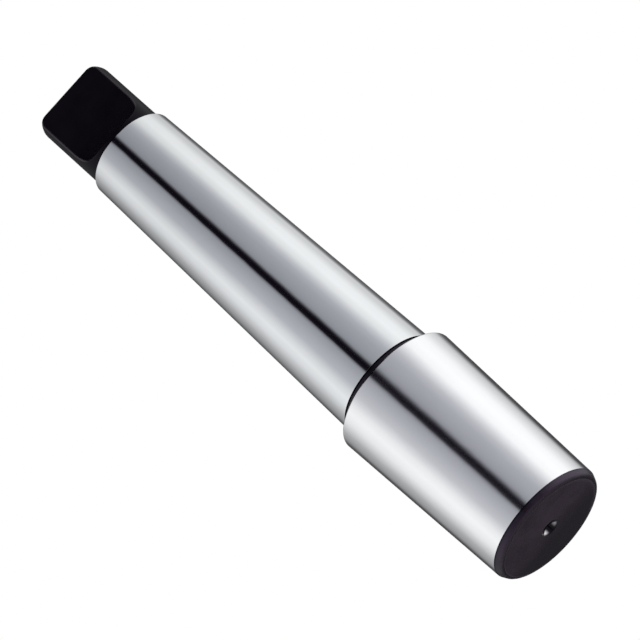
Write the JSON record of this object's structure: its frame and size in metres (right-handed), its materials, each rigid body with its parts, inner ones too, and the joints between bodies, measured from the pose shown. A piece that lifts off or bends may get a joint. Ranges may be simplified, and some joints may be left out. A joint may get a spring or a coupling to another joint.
{
  "type": "drill chuck arbor",
  "caption": "Steel arbor turned from one bar: a long tapered shank with a tang fits the spindle's socket, and a shorter, wider taper at the other end carries a drill chuck.",
  "frame": {"origin": "on the arbor's axis, in the plane of the chuck taper's end face, on which it stands", "axes": "+Z along the arbor's axis, from the chuck taper towards the tang; -Y and +Y square to the two flats of the tang"},
  "size_m": [0.0286, 0.0286, 0.142],
  "materials": {
    "steel": "both tapers ground bright with fine grinding lines round the axis; a black heat-treatment skin is left on the tang, the groove, the end chamfer, the end face and in the centre holes"
  },
  "bodies": {
    "root": {"arbor": "steel"}
  },
  "joints": []
}
